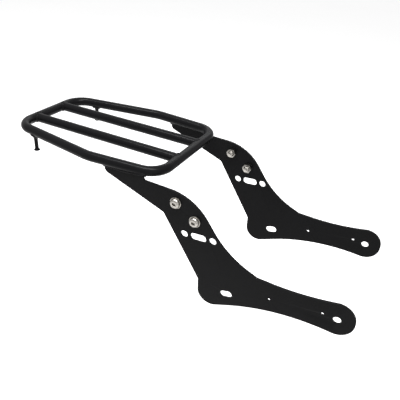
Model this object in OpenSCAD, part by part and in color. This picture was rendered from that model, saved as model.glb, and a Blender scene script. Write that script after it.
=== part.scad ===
// Rear luggage rack: a bent tube hoop with two slats, carried by two S-shaped side plates.
// Frame: +X forward to the arms' ends, +Y left, +Z up. The origin is midway between the two
// front bores, on their common axis. Plate outlines are drawn in X and Z.

/* [Hoop] */
// Outside diameter of the hoop and slat tube
tube_d = 14; // [11:0.5:17]
// Wall of the tube
tube_wall = 1.5; // [1:0.1:2.2]
// Height of the tube's centre line above the front bores
hoop_height = 117.5; // [95:0.5:145]
// Distance back from the front bores to the front cross tube
hoop_setback = 259; // [250:1:268]
// Length from the front cross tube to the rear one, centre to centre
hoop_length = 255; // [205:1:310]
// Length from the front cross tube back to the bend in each side
bend_setback = 107; // [98:1:130]
// Side bend's distance outside the plate's middle plane
bend_outset = 2; // [0:0.5:4]
// Front corner's distance inside the plate's middle plane
front_inset = 6; // [3:0.5:8]
// Rear corner's distance inside the plate's middle plane
rear_inset = 23.5; // [15:0.5:30]
// Centre-line radius of the rear corners
rear_corner_r = 30; // [24:1:36]
// Centre-line radius of the front corners
front_corner_r = 29; // [24:1:35]
// Centre-line radius of the side bends
side_bend_r = 65; // [50:1:80]
// Distance between the two slats, centre to centre
slat_pitch = 59.5; // [48:0.5:72]
// Diameter of the drain hole under the rear cross tube
drain_d = 3; // [2:0.5:4]

/* [Side plates] */
// Distance between the plates' middle planes
plate_pitch = 180; // [150:1:216]
// Thickness of the side plates
plate_t = 3; // [2.5:0.5:4]
// Distance from the bend to the plate's rear edge
tab_start = 27; // [20:1:30]
// Distance from the front cross tube back to the plate's notch
tab_end = 18.5; // [16:0.5:24]
// Distance from the tube's centre line down to the plate's upper edge ahead of the notch
shoulder_drop = 10.5; // [10:0.5:12]
// Radius of the arm's rounded end
arm_end_r = 23; // [20:0.5:25]
// Height of the arm's upper edge at its waist
arm_waist_top = 16.5; // [14:0.5:20]
// Radius of the lobe behind the lower slot
lobe_r = 20; // [16:0.5:22]

/* [Holes] */
// Diameter of the front bores
front_bore_d = 10.5; // [8.5:0.5:13]
// Diameter of the two round accessory holes
accessory_hole_d = 10.5; // [8.5:0.5:12]
// Width of the slots
slot_w = 11; // [9:0.5:12]
// Overall length of the accessory slot
accessory_slot_len = 23; // [18:0.5:25]
// Overall length of the lower slot
lower_slot_len = 17.5; // [14:0.5:21]
// Tapping diameter of the small holes along the arm
tapped_d = 4.2; // [3.3:0.1:5]

/* [Screws and nuts] */
// Thread diameter of the screws
screw_d = 8; // [6:0.5:9]
// Length of a screw under its head
screw_len = 16; // [14:1:20]
// Diameter of a screw's button head
head_d = 14; // [10.5:0.5:17]
// Height of a button head
head_h = 4.4; // [3.3:0.1:5.4]
// Width across flats of the socket in a head
socket_af = 5; // [4:0.5:6]
// Radial clearance of a screw in its plate hole
screw_gap = 0.5; // [0.2:0.1:1]
// Outside diameter of the washer under a head
washer_d = 16; // [14:0.5:20]
// Thickness of a washer
washer_t = 1.6; // [1:0.1:2]
// Width across flats of a nut
nut_af = 13; // [10:0.5:16]
// Height of a nut
nut_h = 6.5; // [5:0.1:8]

/* [Luggage pegs] */
// Distance from the rear cross tube forward to a peg
peg_setforward = 36.5; // [30:0.5:50]
// Depth of a peg's foot below the tube's centre line
peg_depth = 30; // [25:1:40]
// Diameter of a peg's stem
peg_stem_d = 5.5; // [4.5:0.5:7]
// Diameter of a peg's foot
peg_foot_d = 9; // [8:0.5:12]
// Diameter of a peg's flared head where it meets the tube
peg_head_d = 11; // [9:0.5:13]

/* [Welds] */
// Height of a weld bead on each tube it joins
bead = 2; // [1:0.25:3]

/* [Hidden] */
$fn = 48;
tube_r = tube_d / 2;
front_x = -hoop_setback;
rear_x = front_x - hoop_length;
bend_x = front_x - bend_setback;
plate_y = plate_pitch / 2;
front_y = plate_y - front_inset;
bend_y = plate_y + bend_outset;
rear_y = plate_y - rear_inset;
slat_y = slat_pitch / 2;
slope_y = (bend_y - rear_y) / (bend_x - rear_x);
peg_x = rear_x + peg_setforward;
peg_y = rear_y + slope_y * peg_setforward;
tab_x0 = bend_x + tab_start;
tab_x1 = front_x - tab_end;
tab_drop_share = 0.3;
// the plate's tab stops just under the tube's widest point, inside the cope
tab_top = hoop_height - tube_r * tab_drop_share;
shoulder_z = hoop_height - shoulder_drop;
cut_over = 1;
bend_run_in = 0.5;
bend_thinning = 0.02;

// accessory row: hole, slot, hole, on a line that rises a little to the front
row_slope = 4.6;
row_pitch = 20.8;
row_centre = [-192.8, hoop_height - 69.9];
// lower slot, along the lobe
lower_slot_at = [-145.3, -27.5];
lower_slot_slope = 15;
// small tapped holes along the arm
tapped_at = [[-86.5, -8.5], [-18.2, 1.5]];
// the two screws of each plate
screw_at = [[-228, hoop_height - 28], [-199, hoop_height - 46.5]];

// hoop centre line: corner, corner radius
hoop_path = [
    [[rear_x, -rear_y], rear_corner_r], [[bend_x, -bend_y], side_bend_r],
    [[front_x, -front_y], front_corner_r], [[front_x, front_y], front_corner_r],
    [[bend_x, bend_y], side_bend_r], [[rear_x, rear_y], rear_corner_r]
];

// numbers of the hoop's straight runs and corners, each run named by the corner it starts from
rear_tube = 5;
front_tube = 2;
function rear_run(side) = side > 0 ? 4 : 0;
function front_run(side) = side > 0 ? 3 : 1;
function front_corner(side) = side > 0 ? 3 : 2;
function rear_corner(side) = side > 0 ? 5 : 0;

// side plate outline: x, z, corner radius, anticlockwise from the top of the rear edge
plate_path = [
    [[tab_x0, tab_top], 0],
    [[tab_x0, hoop_height - 14.5], 8],
    [[-246, hoop_height - 48.5], 4],
    [[-188, -19], 3],
    [[-186.5, -65], lobe_r],
    [[-76, -17.5], 290],
    [[22, -arm_end_r - 1], arm_end_r],
    [[22, arm_end_r + 7.5], arm_end_r - 1],
    [[-44, arm_waist_top - 1.5], 330],
    [[-107, arm_waist_top + 1], 5],
    [[-150.5, 35], 125],
    [[-203.5, shoulder_z - 2], 72],
    [[tab_x1, shoulder_z], 3],
    [[tab_x1, tab_top], 0]
];

// --- rounded outlines -------------------------------------------------------

function unit(v) = v / norm(v);
function at(path, i) = path[(i + len(path)) % len(path)][0];
function radius(path, i) = path[(i + len(path)) % len(path)][1];
// directions from corner i to its neighbours
function back_dir(path, i) = unit(at(path, i - 1) - at(path, i));
function ahead_dir(path, i) = unit(at(path, i + 1) - at(path, i));
function inner_angle(path, i) = acos(back_dir(path, i) * ahead_dir(path, i));
function tangent_len(path, i) = radius(path, i) / tan(inner_angle(path, i) / 2);
function arc_centre(path, i) =
    at(path, i) + unit(back_dir(path, i) + ahead_dir(path, i))
    * radius(path, i) / sin(inner_angle(path, i) / 2);
function arc_start(path, i) = at(path, i) + back_dir(path, i) * tangent_len(path, i);
function arc_end(path, i) = at(path, i) + ahead_dir(path, i) * tangent_len(path, i);
function heading(v) = atan2(v[1], v[0]);
// signed turn of the arc at corner i, between -180 and 180 degrees
function turn(path, i) =
    let (d = heading(arc_end(path, i) - arc_centre(path, i))
           - heading(arc_start(path, i) - arc_centre(path, i)))
    d > 180 ? d - 360 : d < -180 ? d + 360 : d;
// arc points about 3 mm apart, at least four steps to an arc
function arc_steps(path, i) = max(4, ceil(abs(turn(path, i)) * PI / 180 * radius(path, i) / 3));
function arc_points(path, i) =
    let (n = arc_steps(path, i), c = arc_centre(path, i), a = heading(arc_start(path, i) - c))
    [for (k = [0:n]) c + radius(path, i) * [cos(a + turn(path, i) * k / n), sin(a + turn(path, i) * k / n)]];
function rounded(path) =
    [for (i = [0:len(path) - 1]) each radius(path, i) == 0 ? [at(path, i)] : arc_points(path, i)];

// --- tube pieces ------------------------------------------------------------

// straight round bar in the XY plane from p to q
module bar(p, q, r) {
    translate([p[0], p[1], 0]) rotate([0, 0, heading(q - p)]) rotate([0, 90, 0])
        cylinder(r = r, h = norm(q - p));
}

// straight run of the hoop from corner i to the next, reaching a little way into both bends
module straight(i, r) {
    n = len(hoop_path);
    p = arc_end(hoop_path, i);
    q = arc_start(hoop_path, (i + 1) % n);
    bar(p - bend_run_in * unit(q - p), q + bend_run_in * unit(q - p), r);
}

// bend at corner i, drawn down a hair thinner than the straight tube, as bending leaves it
module bend(i, r) {
    c = arc_centre(hoop_path, i);
    a = heading(arc_start(hoop_path, i) - c);
    translate([c[0], c[1], 0]) rotate([0, 0, min(a, a + turn(hoop_path, i))])
        rotate_extrude(angle = abs(turn(hoop_path, i)), $fn = 96)
            translate([radius(hoop_path, i), 0]) circle(r = r - bend_thinning);
}

module hoop_bar(r) {
    for (i = [0:len(hoop_path) - 1]) {
        straight(i, r);
        bend(i, r);
    }
}

module at_hoop_level() {
    translate([0, 0, hoop_height]) children();
}

// --- hoop and slats ---------------------------------------------------------

module hoop() {
    color("#1b1b1c") at_hoop_level() difference() {
        hoop_bar(tube_r);
        hoop_bar(tube_r - tube_wall);
        translate([rear_x, 0, -tube_r - cut_over]) cylinder(d = drain_d, h = tube_r + cut_over);
    }
}

// what a slat's ends and their welds are coped to: both cross tubes and the corners beside them
module slat_copes(side) {
    straight(front_tube, tube_r);
    straight(rear_tube, tube_r);
    bend(front_corner(side), tube_r);
    bend(rear_corner(side), tube_r);
}

// side = 1 for left, -1 for right
module slat(side) {
    color("#1b1b1c") at_hoop_level() difference() {
        bar([rear_x, side * slat_y], [front_x, side * slat_y], tube_r);
        bar([rear_x, side * slat_y], [front_x, side * slat_y], tube_r - tube_wall);
        slat_copes(side);
    }
}

// bead where a slat meets a cross tube: what lies close to both tubes, on the inner side
module slat_weld(cross_tube, side) {
    x = cross_tube == rear_tube ? rear_x : front_x;
    inward = cross_tube == rear_tube ? 1 : -1;
    reach = tube_r + bead;
    color("#1b1b1c") at_hoop_level() difference() {
        intersection() {
            bar([x, side * slat_y], [x + inward * reach, side * slat_y], reach);
            bar([x, side * slat_y - reach], [x, side * slat_y + reach], reach);
        }
        slat_copes(side);
        bar([x, side * slat_y], [x + inward * 2 * reach, side * slat_y], tube_r);
    }
}

// --- side plates ------------------------------------------------------------

// drawn in X and Z, thickness along Y, centred on y = 0
module flat_across(t) {
    rotate([90, 0, 0]) translate([0, 0, -t / 2]) linear_extrude(t) children();
}

module hole_through(p, d) {
    translate([p[0], 0, p[1]]) rotate([90, 0, 0]) cylinder(d = d, h = plate_t + 2 * cut_over, center = true);
}

module slot_through(p, length, slope) {
    run = length - slot_w;
    translate([p[0], 0, p[1]]) rotate([0, -slope, 0]) {
        cube([run, plate_t + 2 * cut_over, slot_w], center = true);
        for (s = [-1, 1]) hole_through([s * run / 2, 0], slot_w);
    }
}

module side_plate(side) {
    along = [cos(row_slope), sin(row_slope)];
    color("#1b1b1c") difference() {
        translate([0, side * plate_y, 0]) difference() {
            flat_across(plate_t) polygon(rounded(plate_path));
            hole_through([0, 0], front_bore_d);
            for (s = [-1, 1]) hole_through(row_centre + s * row_pitch * along, accessory_hole_d);
            slot_through(row_centre, accessory_slot_len, row_slope);
            slot_through(lower_slot_at, lower_slot_len, lower_slot_slope);
            for (p = tapped_at) hole_through(p, tapped_d);
            for (p = screw_at) hole_through(p, screw_d + 2 * screw_gap);
        }
        at_hoop_level() straight(front_run(side), tube_r);
        at_hoop_level() bend(front_corner(side), tube_r);
    }
}

// bead along both faces and round both ends of the plate's tab, under the tube
module plate_weld(side) {
    length = tab_x1 - tab_x0 + 2 * bead;
    depth = tube_r + bead;
    color("#1b1b1c") difference() {
        intersection() {
            at_hoop_level() {
                straight(front_run(side), tube_r + bead);
                bend(front_corner(side), tube_r + bead);
            }
            translate([tab_x0 - bead, side * plate_y - plate_t / 2 - bead, tab_top - depth])
                cube([length, plate_t + 2 * bead, depth]);
        }
        at_hoop_level() straight(front_run(side), tube_r);
        at_hoop_level() bend(front_corner(side), tube_r);
        translate([0, side * plate_y, 0]) flat_across(plate_t) polygon(rounded(plate_path));
    }
}

// --- pegs -------------------------------------------------------------------

peg_foot_t = 1.2;
peg_flare_h = 2.5;
peg_head_h = 8;

// turned profile: disc foot, short flare, stem, and a trumpet head up to the tube's centre line
module peg_profile() {
    stem_r = peg_stem_d / 2;
    flare = peg_head_d / 2 - stem_r;
    head_z = peg_depth - tube_r - peg_head_h;
    polygon(concat(
        [[0, 0], [peg_foot_d / 2, 0], [peg_foot_d / 2, peg_foot_t], [stem_r, peg_foot_t + peg_flare_h]],
        [for (a = [0:15:90]) [stem_r + flare * (1 - cos(a)), head_z + peg_head_h * sin(a)]],
        [[peg_head_d / 2, peg_depth], [0, peg_depth]]
    ));
}

module peg(side) {
    color("#1b1b1c") difference() {
        translate([peg_x, side * peg_y, hoop_height - peg_depth]) rotate_extrude() peg_profile();
        at_hoop_level() straight(rear_run(side), tube_r);
    }
}

module peg_weld(side) {
    color("#1b1b1c") difference() {
        intersection() {
            at_hoop_level() straight(rear_run(side), tube_r + bead);
            translate([peg_x, side * peg_y, hoop_height - tube_d])
                cylinder(d = peg_head_d + 2 * bead, h = tube_d);
        }
        at_hoop_level() straight(rear_run(side), tube_r);
        translate([peg_x, side * peg_y, hoop_height - tube_d]) cylinder(d = peg_head_d, h = tube_d);
    }
}

// --- screws and nuts --------------------------------------------------------

tip_chamfer = 0.8;
socket_depth = 2.6;
head_edge = 0.6;
// radius of the flat round the socket, as a share of the socket's width
head_flat_share = 0.72;
// radial clearance of a washer on its screw
washer_gap = 0.2;

// hexagon of width af across its flats
module hexagon(af) {
    circle(d = af / cos(30), $fn = 6);
}

// z = 0 under the head, which stands in +Z; the thread runs to -Z
module screw_body() {
    // the dome passes through the head's edge and leaves a flat round the socket
    top_r = socket_af * head_flat_share;
    rise = head_h - head_edge;
    run = head_d / 2 - top_r;
    steps = 8;
    difference() {
        rotate_extrude() polygon(concat(
            [[0, -screw_len], [screw_d / 2 - tip_chamfer, -screw_len], [screw_d / 2, -screw_len + tip_chamfer],
             [screw_d / 2, 0], [head_d / 2, 0]],
            [for (k = [0:steps]) [top_r + run * cos(90 * k / steps), head_edge + rise * sin(90 * k / steps)]],
            [[0, head_h]]
        ));
        translate([0, 0, head_h - socket_depth]) linear_extrude(socket_depth + cut_over) hexagon(socket_af);
    }
}

module place_fastener(i, side) {
    translate([screw_at[i][0], side * (plate_y + plate_t / 2), screw_at[i][1]])
        rotate([-side * 90, 0, 0]) children();
}

// the head stands on the washer
module screw(i, side) {
    color("#b9b5ab") place_fastener(i, side) translate([0, 0, washer_t]) screw_body();
}

module washer(i, side) {
    color("#b9b5ab") place_fastener(i, side) difference() {
        cylinder(d = washer_d, h = washer_t);
        translate([0, 0, -cut_over]) cylinder(d = screw_d + 2 * washer_gap, h = washer_t + 2 * cut_over);
    }
}

// hexagon nut with both faces chamfered, bored to the screw's thread
module nut(i, side) {
    corner_r = nut_af / 2 / cos(30);
    chamfer = corner_r - nut_af / 2;
    color("#b9b5ab") place_fastener(i, side) translate([0, 0, -plate_t - nut_h]) difference() {
        intersection() {
            linear_extrude(nut_h) hexagon(nut_af);
            rotate_extrude() polygon([
                [0, 0], [nut_af / 2, 0], [corner_r, chamfer / 2], [corner_r, nut_h - chamfer / 2],
                [nut_af / 2, nut_h], [0, nut_h]
            ]);
        }
        translate([0, 0, -cut_over]) cylinder(d = screw_d, h = nut_h + 2 * cut_over);
    }
}

hoop();
slat(1);  // slat_left
slat(-1);  // slat_right
side_plate(1);  // side_plate_left
side_plate(-1);  // side_plate_right
slat_weld(rear_tube, 1);  // slat_weld_rear_left
slat_weld(rear_tube, -1);  // slat_weld_rear_right
slat_weld(front_tube, 1);  // slat_weld_front_left
slat_weld(front_tube, -1);  // slat_weld_front_right
plate_weld(1);  // plate_weld_left
plate_weld(-1);  // plate_weld_right
peg(1);  // peg_left
peg(-1);  // peg_right
peg_weld(1);  // peg_weld_left
peg_weld(-1);  // peg_weld_right
screw(0, 1);  // screw_rear_left
screw(0, -1);  // screw_rear_right
screw(1, 1);  // screw_front_left
screw(1, -1);  // screw_front_right
nut(0, 1);  // nut_rear_left
nut(0, -1);  // nut_rear_right
nut(1, 1);  // nut_front_left
nut(1, -1);  // nut_front_right
washer(0, 1);  // washer_rear_left
washer(0, -1);  // washer_rear_right
washer(1, 1);  // washer_front_left
washer(1, -1);  // washer_front_right
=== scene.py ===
import math

import bpy
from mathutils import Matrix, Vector


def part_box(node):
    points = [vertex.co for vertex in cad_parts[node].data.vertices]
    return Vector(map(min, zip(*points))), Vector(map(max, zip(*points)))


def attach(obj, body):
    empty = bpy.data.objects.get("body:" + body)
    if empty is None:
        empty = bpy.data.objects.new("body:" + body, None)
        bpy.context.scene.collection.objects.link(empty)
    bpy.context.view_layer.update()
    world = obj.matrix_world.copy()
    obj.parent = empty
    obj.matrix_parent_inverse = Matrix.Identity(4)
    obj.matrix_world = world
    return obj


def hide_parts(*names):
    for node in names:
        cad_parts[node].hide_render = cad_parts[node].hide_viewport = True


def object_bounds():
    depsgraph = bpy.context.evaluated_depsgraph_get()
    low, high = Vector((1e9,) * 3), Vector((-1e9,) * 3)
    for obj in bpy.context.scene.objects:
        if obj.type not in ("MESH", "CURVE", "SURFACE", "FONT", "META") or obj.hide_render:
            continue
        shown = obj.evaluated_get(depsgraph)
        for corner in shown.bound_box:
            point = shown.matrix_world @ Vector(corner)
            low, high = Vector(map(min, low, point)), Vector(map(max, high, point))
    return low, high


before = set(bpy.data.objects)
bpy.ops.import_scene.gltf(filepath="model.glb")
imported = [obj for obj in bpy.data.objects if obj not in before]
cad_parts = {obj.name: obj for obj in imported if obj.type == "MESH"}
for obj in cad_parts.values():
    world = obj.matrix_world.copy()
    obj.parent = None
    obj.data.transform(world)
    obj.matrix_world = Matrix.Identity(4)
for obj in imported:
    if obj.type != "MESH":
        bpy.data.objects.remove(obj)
cad_low, cad_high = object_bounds()


# --- Camera -----------------------------------------------------------------
# A product view from beside the end of the right plate's arm, looking back and down across the
# hoop, and leaning a little. The lens is a short normal one.

bpy.ops.object.camera_add(
    location=(0.0173, -0.5521, 0.4144),
    rotation=(math.radians(58.53), math.radians(-3.94), math.radians(27.09)),
)
camera = bpy.context.object
camera.name = "camera"
camera.data.lens = 43.12
camera.data.sensor_width = 36
camera.data.clip_start = 0.01
bpy.context.scene.camera = camera
bpy.context.scene.view_settings.view_transform = "Standard"


# --- Floor and light --------------------------------------------------------
# A pale floor well below the rack in an even white studio, a long narrow soft light overhead, a
# weaker strip on the left that draws highlights along the tubes, and a weak fill on the right.


class Wire:
    """One output of a material's nodes, with arithmetic that adds Math nodes."""

    def __init__(self, tree, socket):
        self.tree = tree
        self.socket = socket

    def node(self, kind, settings, inputs, output=0):
        made = self.tree.nodes.new("ShaderNode" + kind)
        for name, value in settings.items():
            setattr(made, name, value)
        for name, value in inputs.items():
            if isinstance(value, Wire):
                self.tree.links.new(value.socket, made.inputs[name])
            else:
                made.inputs[name].default_value = value
        return Wire(self.tree, made.outputs[output])

    def maths(self, operation, first, second):
        return self.node("Math", {"operation": operation}, {0: first, 1: second})

    def __add__(self, other):
        return self.maths("ADD", self, other)

    def __radd__(self, other):
        return self.maths("ADD", other, self)

    def __mul__(self, other):
        return self.maths("MULTIPLY", self, other)

    def __rmul__(self, other):
        return self.maths("MULTIPLY", other, self)

    def noise(self, scale, detail=2.0, roughness=0.5):
        return self.node("TexNoise", {}, {"Vector": self, "Scale": scale, "Detail": detail,
                                          "Roughness": roughness})

    def tint(self, factor, dark, light):
        return self.node("Mix", {"data_type": "RGBA"}, {0: factor, 6: dark, 7: light}, output=2)


def begin_finish(name):
    """A new material: the material, its Principled shader and its Object coordinates."""
    material = bpy.data.materials.new(name)
    material.use_nodes = True
    tree = material.node_tree
    shader = tree.nodes["Principled BSDF"]
    coordinates = tree.nodes.new("ShaderNodeTexCoord")
    return material, shader, Wire(tree, coordinates.outputs["Object"])


def feed(wire, shader, socket):
    wire.tree.links.new(wire.socket, shader.inputs[socket])


def deselect_all():
    if bpy.context.object and bpy.context.object.mode != "OBJECT":
        bpy.ops.object.mode_set(mode="OBJECT")
    bpy.ops.object.select_all(action="DESELECT")


floor_drop = 0.30
floor_size = 12.0
deselect_all()
bpy.ops.mesh.primitive_plane_add(size=floor_size, location=(0, 0, cad_low[2] - floor_drop))
floor = bpy.context.object
floor.name = "floor"
floor_paint, floor_shader, floor_place = begin_finish("pale_floor")
floor_shader.inputs["Roughness"].default_value = 0.9
floor_shader.inputs["Specular IOR Level"].default_value = 0.1
feed(floor_place.tint(floor_place.noise(1.5), (0.93, 0.93, 0.93, 1), (0.95, 0.95, 0.95, 1)),
     floor_shader, "Base Color")
floor.data.materials.append(floor_paint)

world = bpy.data.worlds.new("studio")
world.use_nodes = True
world.node_tree.nodes["Background"].inputs["Color"].default_value = (1, 1, 1, 1)
world.node_tree.nodes["Background"].inputs["Strength"].default_value = 1.0
bpy.context.scene.world = world


def soft_light(name, place, aim, size, power):
    bpy.ops.object.light_add(type="AREA", location=place)
    light = bpy.context.object
    light.name = name
    light.data.shape = "RECTANGLE"
    light.data.size, light.data.size_y = size
    light.data.energy = power
    light.rotation_euler = (Vector(aim) - Vector(place)).to_track_quat("-Z", "Y").to_euler()


middle = [(low + high) / 2 for low, high in zip(cad_low, cad_high)]
soft_light("overhead", (-0.30, -0.35, 1.3), middle, (1.3, 0.16), 42)
soft_light("strip", (-0.6, 1.1, 0.9), middle, (1.4, 0.22), 5)
soft_light("fill", (0.7, -1.1, 0.5), middle, (0.8, 0.8), 2)


# --- Hoop -------------------------------------------------------------------
# One round steel tube, bent at four corners and once half way along each side, closed on
# itself by a butt weld that was ground flush, and powder coated satin black.

hoop_low, hoop_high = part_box("hoop")
tube_r = (hoop_high[2] - hoop_low[2]) / 2
hoop_z = (hoop_high[2] + hoop_low[2]) / 2
rear_x = hoop_low[0] + tube_r
front_x = hoop_high[0] - tube_r
bend_x = front_x - 0.107
plate_low, plate_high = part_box("side_plate_left")
plate_y = (plate_low[1] + plate_high[1]) / 2
plate_t = plate_high[1] - plate_low[1]
# how far the hoop's centre line stands from the middle at its front, side bends and rear
front_y = plate_y - 0.006
bend_y = plate_y + 0.002
rear_y = plate_y - 0.0235
rear_corner_r = 0.030
front_corner_r = 0.029
side_bend_r = 0.065
tube_sides = 48
tube_step = math.radians(4)
coat_gloss = 0.045
coat_cloud = 22.0
peel_depth = 0.00012


def corner(path, index):
    """Arc at a path's corner: where it starts and ends, its centre and its signed turn."""
    before, here, after = (Vector(path[i % len(path)][:2]) for i in (index - 1, index, index + 1))
    radius = path[index % len(path)][2]
    back = (before - here).normalized()
    ahead = (after - here).normalized()
    half_angle = back.angle(ahead) / 2
    reach = radius / math.tan(half_angle)
    centre = here + (back + ahead).normalized() * radius / math.sin(half_angle)
    turn = math.pi - 2 * half_angle
    side = -1 if back.cross(ahead) > 0 else 1
    return here + back * reach, here + ahead * reach, centre, turn * side


def smooth(piece, angle=35):
    deselect_all()
    piece.select_set(True)
    bpy.context.view_layer.objects.active = piece
    bpy.ops.object.shade_smooth_by_angle(angle=math.radians(angle))


def powder_coat(name, shade, grain, roughness):
    """Satin black powder coat: a fine orange-peel skin with faint cloudiness in its gloss."""
    material, shader, place = begin_finish(name)
    cloud = place.noise(coat_cloud, 3.0)
    peel = place.noise(grain, 2.0, 0.45)
    speck = place.noise(grain * 3.2, 1.0)
    light = [channel * 1.4 for channel in shade]
    feed(place.tint(cloud, (*shade, 1), (*light, 1)), shader, "Base Color")
    feed(cloud * 0.10 + speck * 0.08 + (roughness - 0.09), shader, "Roughness")
    skin = place.node("Bump", {}, {"Strength": 0.35, "Distance": peel_depth,
                                   "Height": peel + speck * 0.3})
    feed(skin, shader, "Normal")
    shader.inputs["Specular IOR Level"].default_value = coat_gloss
    return material


hoop_path = [
    (rear_x, -rear_y, rear_corner_r), (bend_x, -bend_y, side_bend_r),
    (front_x, -front_y, front_corner_r), (front_x, front_y, front_corner_r),
    (bend_x, bend_y, side_bend_r), (rear_x, rear_y, rear_corner_r),
]


def sweep_round(path, upright, step):
    """Take the selected section once round a closed path: spin each corner, extrude each run.
    upright turns a point of the path and a height off its plane into a place on the rack, and
    step gives the turn of one facet of a bend from the bend's radius."""
    axis = upright(Vector((0, 0)), 1) - upright(Vector((0, 0)), 0)
    flipped = (upright(Vector((1, 0)), 0) - upright(Vector((0, 0)), 0)).cross(
        upright(Vector((0, 1)), 0) - upright(Vector((0, 0)), 0)).dot(axis)
    for index in range(len(path)):
        _, leave, centre, turn = corner(path, index)
        following, _, _, _ = corner(path, index + 1)
        facets = max(4, math.ceil(abs(turn) / step(path[index][2])))
        bpy.ops.mesh.spin(steps=facets, angle=-turn * flipped, center=upright(centre, 0),
                          axis=axis)
        run = upright(following, 0) - upright(leave, 0)
        if run.length > 1e-6:
            bpy.ops.mesh.extrude_region_move(TRANSFORM_OT_translate={"value": run})
    bpy.ops.mesh.select_all(action="SELECT")
    bpy.ops.mesh.remove_doubles(threshold=0.00002)
    bpy.ops.mesh.normals_make_consistent(inside=False)


tube_coat = powder_coat("satin_black_tube", (0.0030, 0.0030, 0.0033), 900.0, 0.28)
start, _, _, _ = corner(hoop_path, 0)
heading = (Vector(hoop_path[0][:2]) - Vector(hoop_path[-1][:2])).normalized()
deselect_all()
bpy.ops.mesh.primitive_circle_add(
    vertices=tube_sides, radius=tube_r, location=(start.x, start.y, hoop_z),
    rotation=(math.pi / 2, 0, math.atan2(heading.y, heading.x) + math.pi / 2))
hoop = bpy.context.object
hoop.name = "hoop_tube"
bpy.ops.object.transform_apply(location=True, rotation=True, scale=True)
bpy.ops.object.mode_set(mode="EDIT")
sweep_round(hoop_path, lambda point, rise: Vector((point.x, point.y, hoop_z + rise)),
            lambda radius: tube_step)
bpy.ops.object.mode_set(mode="OBJECT")
smooth(hoop, 60)
hoop.data.materials.append(tube_coat)
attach(hoop, "root")
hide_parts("hoop")


# --- Slats ------------------------------------------------------------------
# Two lengths of the hoop's tube, coped at both ends and welded between its cross tubes, level
# with them. Each one here runs on to the cross tubes' centre lines, inside their skins.

slat_low, slat_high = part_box("slat_left")
slat_y = (slat_low[1] + slat_high[1]) / 2
slat_len = front_x - rear_x

for side, hand in ((1, "left"), (-1, "right")):
    deselect_all()
    bpy.ops.mesh.primitive_circle_add(
        vertices=tube_sides, radius=tube_r, location=(rear_x, side * slat_y, hoop_z),
        rotation=(0, math.pi / 2, 0))
    slat = bpy.context.object
    slat.name = "slat_tube_" + hand
    bpy.ops.object.transform_apply(location=True, rotation=True, scale=True)
    bpy.ops.object.mode_set(mode="EDIT")
    bpy.ops.mesh.edge_face_add()
    bpy.ops.mesh.extrude_region_move(TRANSFORM_OT_translate={"value": (slat_len, 0, 0)})
    bpy.ops.mesh.select_all(action="SELECT")
    bpy.ops.mesh.normals_make_consistent(inside=False)
    bpy.ops.object.mode_set(mode="OBJECT")
    smooth(slat)
    slat.data.materials.append(tube_coat)
    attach(slat, "root")
    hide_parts("slat_" + hand)


# --- Weld beads on the slats ------------------------------------------------
# Each joint is welded once round its saddle: a row of overlapping ripples, small and even,
# under the same black powder coat.

bead_r = 0.0021
bead_steps = 400
ripple_pitch = 0.0014
ripple_squeeze = 0.8
saddle_sink = 0.0011


def lay_bead(name, run, radius):
    """Lay ripples along a run of points, each one flattened along the run."""
    deselect_all()
    bpy.ops.mesh.primitive_uv_sphere_add(segments=10, ring_count=6, radius=radius)
    ripple = bpy.context.object
    ripples = []
    for here, ahead in zip(run, run[1:]):
        copy = ripple.copy()
        copy.data = ripple.data.copy()
        bpy.context.collection.objects.link(copy)
        copy.location = here
        copy.rotation_euler = (ahead - here).to_track_quat("Z", "Y").to_euler()
        copy.scale = (1, 1, ripple_squeeze)
        ripples.append(copy)
    bpy.data.objects.remove(ripple)
    deselect_all()
    for copy in ripples:
        copy.select_set(True)
    bead = ripples[0]
    bpy.context.view_layer.objects.active = bead
    bpy.ops.object.join()
    bead.name = name
    bpy.ops.object.transform_apply(location=True, rotation=True, scale=True)
    smooth(bead, 60)
    return bead


def evenly(curve, pitch):
    """Points a pitch apart along a curve given as a function of 0 to 1."""
    fine = [curve(k / bead_steps) for k in range(bead_steps + 1)]
    run = [fine[0]]
    gone = 0.0
    for here, ahead in zip(fine, fine[1:]):
        gone += (ahead - here).length
        if gone >= pitch:
            run.append(ahead)
            gone -= pitch
    return run


def saddle(x, inward, y):
    """Once round the line where a slat's skin meets a cross tube, sunk a little at its top and
    bottom, where both tubes' skins run level."""
    def curve(t):
        angle = 2 * math.pi * t
        sink = saddle_sink * math.sin(angle) ** 2
        out = tube_r - sink
        return Vector((x + inward * out * abs(math.cos(angle)), y + out * math.cos(angle),
                       hoop_z + out * math.sin(angle)))
    return curve


weld_coat = powder_coat("satin_black_weld", (0.0032, 0.0032, 0.0035), 1100.0, 0.32)
for place, x, inward in (("rear", rear_x, 1), ("front", front_x, -1)):
    for side, hand in ((1, "left"), (-1, "right")):
        bead = lay_bead(f"slat_bead_{place}_{hand}",
                        evenly(saddle(x, inward, side * slat_y), ripple_pitch), bead_r)
        bead.data.materials.append(weld_coat)
        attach(bead, "root")
        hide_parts(f"slat_weld_{place}_{hand}")


# --- Side plates ------------------------------------------------------------
# Two S-shaped plates laser cut from flat steel, the edges lightly broken, drilled and slotted,
# with a tab at the top that stands under the hoop's side. Powder coated satin black.

tab_x0 = plate_low[0]
tab_x1 = front_x - 0.0185
tab_top = plate_high[2]
shoulder_z = hoop_z - 0.0105
arm_end_x = 0.022
arm_end_r = 0.023
arm_waist_z = 0.0165
lobe_r = 0.020
edge_break = 0.00035

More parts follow.
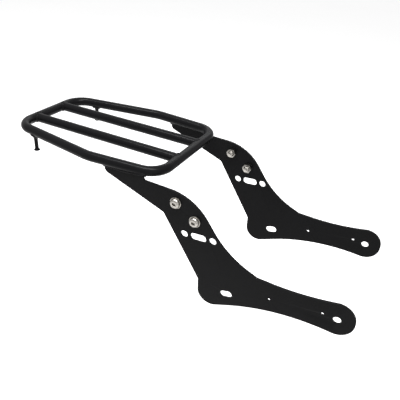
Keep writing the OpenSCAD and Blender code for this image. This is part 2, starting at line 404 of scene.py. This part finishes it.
# x, z and corner radius, anticlockwise from the top of the rear edge
plate_path = [
    (tab_x0, tab_top, 0.0004), (tab_x0, hoop_z - 0.0145, 0.008), (-0.246, hoop_z - 0.0485, 0.004),
    (-0.188, -0.019, 0.003), (-0.1865, -0.065, lobe_r), (-0.076, -0.0175, 0.290),
    (arm_end_x, -arm_end_r - 0.001, arm_end_r),
    (arm_end_x, arm_end_r + 0.0075, arm_end_r - 0.001),
    (-0.044, arm_waist_z - 0.0015, 0.330), (-0.107, arm_waist_z + 0.001, 0.005),
    (-0.1505, 0.035, 0.125), (-0.2035, shoulder_z - 0.002, 0.072),
    (tab_x1, shoulder_z, 0.003), (tab_x1, tab_top, 0.0004),
]

front_bore_r = 0.00525
accessory_r = 0.00525
slot_w = 0.011
row_slope = math.radians(4.6)
row_centre = Vector((-0.1928, hoop_z - 0.0699))
row_step = 0.0208 * Vector((math.cos(row_slope), math.sin(row_slope)))
tapped_r = 0.0021
screw_hole_r = 0.0045
screw_places = {"rear": Vector((-0.228, hoop_z - 0.028)),
                "front": Vector((-0.199, hoop_z - 0.0465))}
# centre and radius
plate_bores = [
    (Vector((0, 0)), front_bore_r), (row_centre - row_step, accessory_r),
    (row_centre + row_step, accessory_r), (Vector((-0.0865, -0.0085)), tapped_r),
    (Vector((-0.0182, 0.0015)), tapped_r), (screw_places["rear"], screw_hole_r),
    (screw_places["front"], screw_hole_r),
]
# centre, length over the round ends and slope
plate_slots = [
    (row_centre, 0.023, row_slope), (Vector((-0.1453, -0.0275)), 0.0175, math.radians(15)),
]


def cut_flat(name, path, y, thickness):
    """Flat stock cut to an outline: its edge swept round the path, then both faces filled in."""
    start, _, _, _ = corner(path, 0)
    deselect_all()
    bpy.ops.mesh.primitive_plane_add(size=thickness, location=(start.x, y, start.y))
    stock = bpy.context.object
    stock.name = name
    bpy.ops.object.transform_apply(location=True, rotation=True, scale=True)
    bpy.ops.object.mode_set(mode="EDIT")
    bpy.ops.mesh.merge(type="COLLAPSE")
    bpy.ops.transform.translate(value=(0, -thickness / 2, 0))
    bpy.ops.mesh.extrude_region_move(TRANSFORM_OT_translate={"value": (0, thickness, 0)})
    bpy.ops.mesh.select_all(action="SELECT")
    sweep_round(path, lambda point, rise: Vector((point.x, y + rise, point.y)),
                lambda radius: max(math.radians(1), min(math.radians(8), 0.002 / radius)))
    bpy.ops.mesh.select_all(action="DESELECT")
    bpy.ops.mesh.select_non_manifold()
    bpy.ops.mesh.edge_face_add()
    bpy.ops.mesh.select_all(action="SELECT")
    bpy.ops.mesh.normals_make_consistent(inside=False)
    bpy.ops.object.mode_set(mode="OBJECT")
    return stock


def cut_from(piece, punch, operation="DIFFERENCE"):
    """Cut a punch's shape from a piece and clear the punch away."""
    deselect_all()
    piece.select_set(True)
    bpy.context.view_layer.objects.active = piece
    cutting = piece.modifiers.new("cutting", "BOOLEAN")
    cutting.operation = operation
    cutting.solver = "EXACT"
    cutting.object = punch
    bpy.ops.object.modifier_apply(modifier=cutting.name)
    bpy.data.objects.remove(punch)


def break_edges(piece, width, angle, segments):
    """Bevel every edge sharper than an angle."""
    deselect_all()
    piece.select_set(True)
    bpy.context.view_layer.objects.active = piece
    breaking = piece.modifiers.new("breaking", "BEVEL")
    breaking.limit_method = "ANGLE"
    breaking.angle_limit = math.radians(angle)
    breaking.width = width
    breaking.segments = segments
    breaking.harden_normals = True
    bpy.ops.object.modifier_apply(modifier=breaking.name)


def slot_path(centre, long, wide, slope):
    """The four corners of a round-ended slot, anticlockwise."""
    along = Vector((math.cos(slope), math.sin(slope)))
    across = Vector((-math.sin(slope), math.cos(slope)))
    corners = []
    for u, v in ((-1, -1), (1, -1), (1, 1), (-1, 1)):
        point = centre + u * long / 2 * along + v * wide / 2 * across
        corners.append((point.x, point.y, wide / 2 - 0.00001))
    return corners


def cut_plate(name, y):
    """Cut the outline, drill and slot it, and break its edges."""
    plate = cut_flat(name, plate_path, y, plate_t)
    for centre, radius in plate_bores:
        deselect_all()
        bpy.ops.mesh.primitive_cylinder_add(
            vertices=64 if radius > tapped_r else 32, radius=radius, depth=4 * plate_t,
            location=(centre.x, y, centre.y), rotation=(math.pi / 2, 0, 0))
        cut_from(plate, bpy.context.object)
    for centre, long, slope in plate_slots:
        outline = slot_path(centre, long, slot_w, slope)
        cut_from(plate, cut_flat("slot_punch", outline, y, 4 * plate_t))
    break_edges(plate, edge_break, 60, 3)
    smooth(plate, 12)
    return plate


plate_coat = powder_coat("satin_black_plate", (0.0024, 0.0024, 0.0026), 800.0, 0.36)
for side, hand in ((1, "left"), (-1, "right")):
    plate = cut_plate("cut_plate_" + hand, side * plate_y)
    plate.data.materials.append(plate_coat)
    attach(plate, "root")
    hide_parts("side_plate_" + hand)


# --- Weld beads on the side plates ------------------------------------------
# A fillet weld along both faces of each tab and round its two ends, where it stands against
# the underside of the hoop.

tab_bead_r = bead_r * 0.9
# share of the tube's radius past which its underside is too steep for a bead
skin_limit = 0.95


def tube_axis_y(x):
    """Distance of the hoop's centre line from the middle of the rack, ahead of the side bend."""
    along = (x - bend_x) / (front_x - bend_x)
    straight = bend_y + (front_y - bend_y) * along
    start, _, centre, _ = corner(hoop_path, 2)
    if x <= start.x:
        return straight
    return math.sqrt(front_corner_r ** 2 - (x - centre.x) ** 2) - centre.y


def skin_below(x, y):
    """Height of the hoop's underside above a point beneath it."""
    off = min(abs(y - tube_axis_y(x)), tube_r * skin_limit)
    return hoop_z - math.sqrt(tube_r ** 2 - off ** 2)


def tab_line(side):
    """Once round the tab: along its outer face, round the front, back inside, round the rear."""
    reach = plate_t / 2
    length = tab_x1 - tab_x0
    total = 2 * length + 2 * math.pi * reach

    def curve(t):
        gone = t * total
        if gone < length:
            x, y = tab_x0 + gone, reach
        elif gone < length + math.pi * reach:
            angle = (gone - length) / reach
            x, y = tab_x1 + reach * math.sin(angle), reach * math.cos(angle)
        elif gone < 2 * length + math.pi * reach:
            x, y = tab_x1 - (gone - length - math.pi * reach), -reach
        else:
            angle = (gone - 2 * length - math.pi * reach) / reach
            x, y = tab_x0 - reach * math.sin(angle), -reach * math.cos(angle)
        return Vector((x, side * (plate_y + y), skin_below(x, plate_y + y)))
    return curve


for side, hand in ((1, "left"), (-1, "right")):
    bead = lay_bead("plate_bead_" + hand, evenly(tab_line(side), ripple_pitch), tab_bead_r)
    bead.data.materials.append(weld_coat)
    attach(bead, "root")
    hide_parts("plate_weld_" + hand)


# --- Strap pegs -------------------------------------------------------------
# A turned steel peg under each side of the hoop near the rear: a trumpet head against the tube,
# a slim stem and a flared foot that keeps a strap on. Welded round its head.

peg_low, peg_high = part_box("peg_left")
peg_x = (peg_low[0] + peg_high[0]) / 2
peg_y = (peg_low[1] + peg_high[1]) / 2
stem_r = 0.00275
foot_r = 0.0045
head_r = (peg_high[0] - peg_low[0]) / 2
foot_t = 0.0012
foot_edge = 0.0003
flare_h = 0.0025
flare_out = 0.0006
head_h = 0.008
peg_sink = 0.002
peg_bead_r = bead_r * 0.8


def turned(name, profile, sides=48, bored=False):
    """Turn a bar on Z: step along a profile of height and radius, ring by ring. A solid bar ends
    in flat caps, and a bored one comes back to its first ring."""
    deselect_all()
    height, radius = profile[0]
    bpy.ops.mesh.primitive_circle_add(vertices=sides, radius=radius, location=(0, 0, height),
                                      fill_type="NOTHING" if bored else "NGON")
    bar = bpy.context.object
    bar.name = name
    bpy.ops.object.transform_apply(location=True, rotation=True, scale=True)
    bpy.ops.object.mode_set(mode="EDIT")
    for (low, narrow), (high, wide) in zip(profile, profile[1:]):
        bpy.ops.mesh.extrude_region_move(TRANSFORM_OT_translate={"value": (0, 0, high - low)})
        grow = wide / narrow
        bpy.ops.transform.resize(value=(grow, grow, 1), center_override=(0, 0, high))
    bpy.ops.mesh.select_all(action="SELECT")
    if bored:
        bpy.ops.mesh.remove_doubles(threshold=0.000005)
    bpy.ops.mesh.normals_make_consistent(inside=False)
    bpy.ops.object.mode_set(mode="OBJECT")
    return bar


def put(piece, place, angles=(0, 0, 0)):
    """Set a piece down at its place and turn, and leave its object at the origin."""
    deselect_all()
    piece.select_set(True)
    bpy.context.view_layer.objects.active = piece
    piece.location = place
    piece.rotation_euler = angles
    bpy.ops.object.transform_apply(location=True, rotation=True, scale=True)


peg_top = hoop_z - tube_r - peg_low[2] + peg_sink
head_z = peg_top - peg_sink - head_h
peg_profile = [
    (0, foot_r - foot_edge), (foot_edge, foot_r), (foot_t - foot_edge, foot_r),
    (foot_t, foot_r - foot_edge), (foot_t + flare_h * 0.4, stem_r + flare_out),
    (foot_t + flare_h, stem_r), (head_z * 0.6, stem_r),
]
for k in range(13):
    angle = math.radians(90 * k / 12)
    peg_profile.append((head_z + head_h * math.sin(angle),
                        stem_r + (head_r - stem_r) * (1 - math.cos(angle))))
peg_profile.append((peg_top, head_r))

peg_coat = powder_coat("satin_black_peg", (0.0030, 0.0030, 0.0033), 1000.0, 0.32)
side_slope = (bend_y - rear_y) / (bend_x - rear_x)


def peg_line(side):
    """Once round the peg's head, where it meets the hoop's underside."""
    def curve(t):
        angle = 2 * math.pi * t
        across = head_r * math.sin(angle)
        off = min(abs(across - head_r * math.cos(angle) * side_slope), tube_r * skin_limit)
        return Vector((peg_x + head_r * math.cos(angle), side * (peg_y + across),
                       hoop_z - math.sqrt(tube_r ** 2 - off ** 2)))
    return curve


for side, hand in ((1, "left"), (-1, "right")):
    peg = turned("strap_peg_" + hand, peg_profile, 40)
    put(peg, (peg_x, side * peg_y, peg_low[2]))
    smooth(peg, 40)
    peg.data.materials.append(peg_coat)
    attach(peg, "root")
    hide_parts("peg_" + hand)

    bead = lay_bead("peg_bead_" + hand, evenly(peg_line(side), ripple_pitch), peg_bead_r)
    bead.data.materials.append(weld_coat)
    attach(bead, "root")
    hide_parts("peg_weld_" + hand)


# --- Washers ----------------------------------------------------------------
# A flat washer in plain stainless steel under each screw head. It is punched from sheet, so its
# upper edge is drawn over and its lower edge is sharp, and its faces are brushed in fine rings.

washer_low, washer_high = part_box("washer_rear_left")
washer_r = (washer_high[0] - washer_low[0]) / 2
washer_t = washer_high[1] - washer_low[1]
washer_bore_r = 0.0042
roll = 0.0003
face_y = plate_y + plate_t / 2
ring_scale = 900.0
stain_scale = 260.0
mark_depth = 0.00003


def turned_steel(name, centre, shade, roughness):
    """Stainless steel with fine turning marks in rings round an axis along Y."""
    material, shader, place = begin_finish(name)
    centred = place.node("Mapping", {"vector_type": "TEXTURE"},
                         {"Vector": place, "Location": (centre.x, 0, centre.y)})
    rings = place.node("TexWave", {"wave_type": "RINGS", "rings_direction": "Y"},
                       {"Vector": centred, "Scale": ring_scale, "Distortion": 1.5,
                        "Detail": 2.0, "Detail Scale": 40.0}, output=1)
    stain = place.noise(stain_scale, 3.0)
    dark = [channel * 0.72 for channel in shade]
    feed(place.tint(stain, (*dark, 1), (*shade, 1)), shader, "Base Color")
    feed(rings * 0.10 + stain * 0.16 + (roughness - 0.13), shader, "Roughness")
    marks = place.node("Bump", {}, {"Strength": 0.25, "Distance": mark_depth,
                                    "Height": rings + stain * 0.5})
    feed(marks, shader, "Normal")
    shader.inputs["Metallic"].default_value = 1.0
    return material


def fit_copy(stock, name, finish, place, angles, crease):
    """Copy a fastener with its own mesh, set the copy in its place and give it its finish."""
    fitted = stock.copy()
    fitted.data = stock.data.copy()
    bpy.context.collection.objects.link(fitted)
    fitted.name = name
    put(fitted, place, angles)
    smooth(fitted, crease)
    fitted.data.materials.append(finish)
    return fitted


washer_profile = [
    (0, washer_bore_r), (0, washer_r), (washer_t - roll, washer_r),
    (washer_t - roll * 0.3, washer_r - roll * 0.3), (washer_t, washer_r - roll),
    (washer_t, washer_bore_r + roll / 2), (washer_t - roll / 2, washer_bore_r), (0, washer_bore_r),
]
washer = turned("washer", washer_profile, 64, bored=True)
washer_steel = {place: turned_steel("stainless_washer_" + place, centre, (0.31, 0.295, 0.272), 0.30)
                for place, centre in screw_places.items()}
for place, centre in screw_places.items():
    for side, hand in ((1, "left"), (-1, "right")):
        fitted = fit_copy(washer, f"flat_washer_{place}_{hand}", washer_steel[place],
                          (centre.x, side * face_y, centre.y), (-side * math.pi / 2, 0, 0), 35)
        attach(fitted, "root")
        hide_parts(f"washer_{place}_{hand}")
bpy.data.objects.remove(washer)


# --- Screws -----------------------------------------------------------------
# Button-head socket screws in plain stainless steel, the heads on the washers and the threads
# through the plates to the inside, with fine turning marks round each head.

screw_low, screw_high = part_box("screw_rear_left")
screw_r = 0.004
screw_len = 0.016
button_r = (screw_high[0] - screw_low[0]) / 2
button_h = screw_high[1] - screw_low[1] - screw_len
socket_af = 0.005
socket_deep = 0.0026
thread_pitch = 0.00125
thread_deep = 0.0006
point_deep = 0.0012
point_h = 0.0004
thread_start = 0.0035
shank_len = 0.003
head_edge = 0.0003
rim_low = 0.0004
rim_high = 0.0006


def threaded(from_z, to_z, radius):
    """Profile points of a thread's crests and roots between two heights."""
    points = []
    turns = int((to_z - from_z) / thread_pitch)
    for k in range(turns):
        z = from_z + k * thread_pitch
        points += [(z, radius - thread_deep), (z + 0.4 * thread_pitch, radius),
                   (z + 0.6 * thread_pitch, radius)]
    return points


screw_profile = [(-screw_len, screw_r - point_deep)]
screw_profile += threaded(-screw_len + point_h, -thread_start, screw_r)
screw_profile += [(-shank_len, screw_r), (0, screw_r), (0, button_r - head_edge),
                  (rim_low, button_r)]
rim_r = socket_af * 0.72
for k in range(13):
    angle = math.radians(90 * k / 12)
    screw_profile.append((rim_high + (button_h - rim_high) * math.sin(angle),
                          rim_r + (button_r - rim_r) * math.cos(angle)))

screw = turned("screw", screw_profile, 48)
deselect_all()
bpy.ops.mesh.primitive_cylinder_add(vertices=6, radius=socket_af / 2 / math.cos(math.pi / 6),
                                    depth=2 * socket_deep, location=(0, 0, button_h))
cut_from(screw, bpy.context.object)
break_edges(screw, 0.00012, 55, 2)

screw_steel = {place: turned_steel("stainless_screw_" + place, centre, (0.36, 0.342, 0.316), 0.22)
               for place, centre in screw_places.items()}
for place, centre in screw_places.items():
    for side, hand in ((1, "left"), (-1, "right")):
        fitted = fit_copy(screw, f"button_screw_{place}_{hand}", screw_steel[place],
                          (centre.x, side * (face_y + washer_t), centre.y),
                          (-side * math.pi / 2, 0, 0), 35)
        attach(fitted, "root")
        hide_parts(f"screw_{place}_{hand}")
bpy.data.objects.remove(screw)


# --- Nuts -------------------------------------------------------------------
# Hexagon nuts in the same stainless steel, chamfered on both faces, run up against the plates'
# inner faces. The screw's end stands a few threads clear. The nuts' steel is coloured darker
# than the screws' as painted shade on their flanks.

nut_low, nut_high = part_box("nut_rear_left")
nut_h = nut_high[1] - nut_low[1]
nut_af = nut_high[2] - nut_low[2]
nut_corner_r = nut_af / 2 / math.cos(math.pi / 6)
nut_bore_r = screw_r - 0.0002
countersink_h = 0.0008
countersink_r = screw_r + 0.0006
cone_clear = 0.00005

deselect_all()
bpy.ops.mesh.primitive_cylinder_add(vertices=6, radius=nut_corner_r, depth=nut_h,
                                    location=(0, 0, nut_h / 2), rotation=(0, 0, math.pi / 6))
nut = bpy.context.object
nut.name = "nut"
bpy.ops.object.transform_apply(location=True, rotation=True, scale=True)
chamfer = nut_corner_r - nut_af / 2
cone = turned("chamfer_cone", [
    (0, nut_af / 2), (chamfer / 2, nut_corner_r + cone_clear),
    (nut_h - chamfer / 2, nut_corner_r + cone_clear), (nut_h, nut_af / 2),
], 64)
bore = turned("nut_bore", [
    (-0.001, screw_r + 0.0011), (0.0001, countersink_r), (countersink_h, nut_bore_r),
    (nut_h - countersink_h, nut_bore_r), (nut_h - 0.0001, countersink_r),
    (nut_h + 0.001, screw_r + 0.0011),
], 48)
cut_from(nut, cone, "INTERSECT")
cut_from(nut, bore)
break_edges(nut, 0.00015, 40, 2)

# painted shade: the same steel as the screws, given a darker colour
shaded_nut_steel = {place: turned_steel("shaded_stainless_nut_" + place, centre, (0.24, 0.231, 0.214), 0.28)
             for place, centre in screw_places.items()}
inner_y = plate_y - plate_t / 2
for place, centre in screw_places.items():
    for side, hand in ((1, "left"), (-1, "right")):
        fitted = fit_copy(nut, f"hex_nut_{place}_{hand}", shaded_nut_steel[place],
                          (centre.x, side * inner_y, centre.y), (side * math.pi / 2, 0, 0), 30)
        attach(fitted, "root")
        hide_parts(f"nut_{place}_{hand}")
bpy.data.objects.remove(nut)
